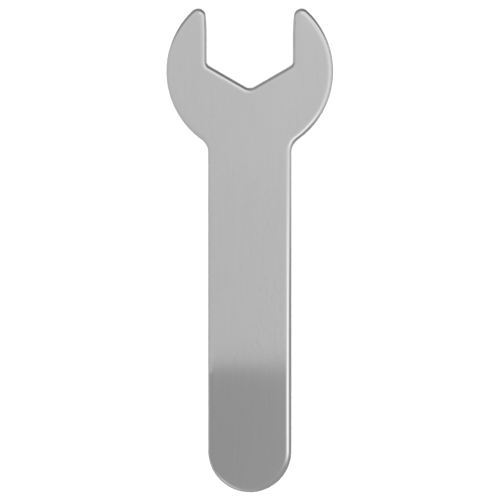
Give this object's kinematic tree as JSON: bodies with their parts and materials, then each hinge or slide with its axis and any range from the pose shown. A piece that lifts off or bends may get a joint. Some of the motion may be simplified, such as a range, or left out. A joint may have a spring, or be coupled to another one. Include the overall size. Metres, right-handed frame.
{
  "type": "fire hydrant wrench",
  "caption": "Flat one-piece open-end wrench with a round head, a hexagon mouth and a straight flat handle with a round end, all edges rounded.",
  "frame": {"origin": "below the middle of the bounding box, on the surface that the wrench lies on", "axes": "+Z is the normal of the upper broad face, +Y runs from the handle to the mouth, and +X is across the handle"},
  "size_m": [0.074, 0.2146, 0.0095],
  "materials": {
    "steel": "satin"
  },
  "bodies": {
    "root": {"wrench_body": "steel"}
  },
  "joints": []
}
